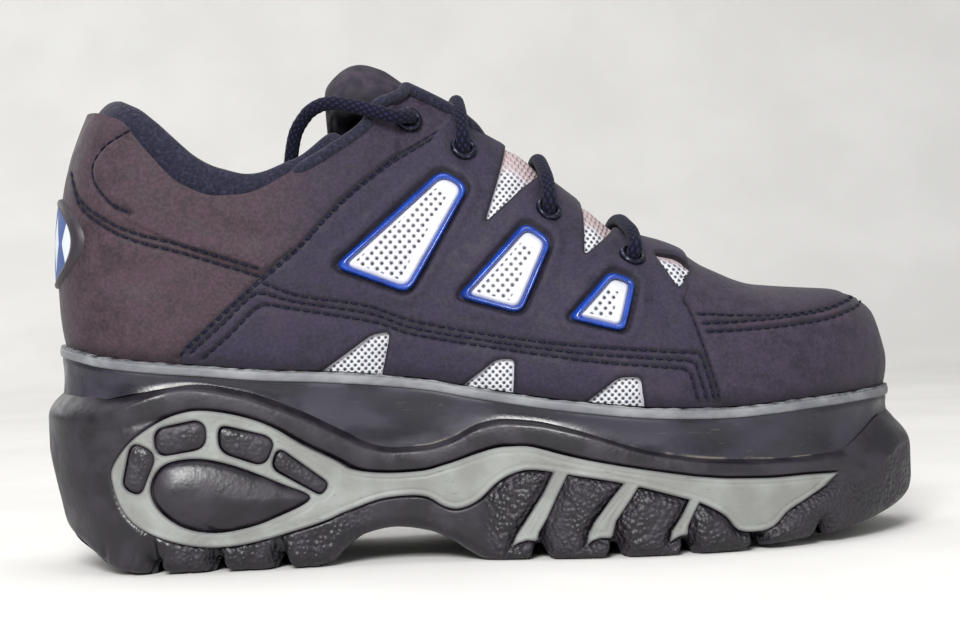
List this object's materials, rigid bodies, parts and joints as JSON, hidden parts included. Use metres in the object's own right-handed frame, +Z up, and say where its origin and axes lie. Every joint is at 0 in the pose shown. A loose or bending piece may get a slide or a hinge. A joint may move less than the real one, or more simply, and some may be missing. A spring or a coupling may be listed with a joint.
{
  "type": "platform shoe",
  "caption": "Chunky low-cut lace-up platform shoe for the right foot, with a thick waved sole, side inlay, padded collar and framed side windows.",
  "frame": {"origin": "on the floor below the centre of the sole's box", "axes": "+X towards the toe, +Y towards the wearer's left (the inner side of this right shoe), +Z up"},
  "size_m": [0.284, 0.1072, 0.1608],
  "materials": {
    "black_rubber": "leather-textured black rubber lugs and wall",
    "grey_rubber": "light warm grey moulded rubber, lightly scratched",
    "smooth_rubber": "smooth dark charcoal midsole wall",
    "welt_rubber": "light grey scuffed strip",
    "insole_cloth": "dark woven lining cloth",
    "brown_nubuck": "brown-black nubuck, rubbed, navy stitching",
    "tongue_nubuck": "brown nubuck over padding",
    "navy_cloth": "navy-black lining cloth",
    "blue_gloss": "glossy royal blue moulded plastic",
    "white_panel": "white perforated synthetic leather",
    "dark_metal": "dark painted eyelet",
    "navy_lace": "round braided navy lace"
  },
  "bodies": {
    "root": {"outsole": "black_rubber", "inlay_right": "grey_rubber", "inlay_left": "grey_rubber", "midsole": "smooth_rubber", "welt": "welt_rubber", "insole": "insole_cloth", "upper": "brown_nubuck", "tongue": "tongue_nubuck", "collar_roll": "navy_cloth", "heel_badge": "blue_gloss", "window_frame_1_right": "blue_gloss", "window_frame_1_left": "blue_gloss", "window_frame_2_right": "blue_gloss", "window_frame_2_left": "blue_gloss", "window_frame_3_right": "blue_gloss", "window_frame_3_left": "blue_gloss", "window_panel_1_right": "white_panel", "window_panel_1_left": "white_panel", "window_panel_2_right": "white_panel", "window_panel_2_left": "white_panel", "window_panel_3_right": "white_panel", "window_panel_3_left": "white_panel", "eyelet_1_right": "dark_metal", "eyelet_1_left": "dark_metal", "eyelet_2_right": "dark_metal", "eyelet_2_left": "dark_metal", "eyelet_3_right": "dark_metal", "eyelet_3_left": "dark_metal", "eyelet_4_right": "dark_metal", "eyelet_4_left": "dark_metal", "lace_bar_1": "navy_lace", "lace_bar_2": "navy_lace", "lace_bar_3": "navy_lace", "lace_end": "navy_lace"}
  },
  "joints": []
}
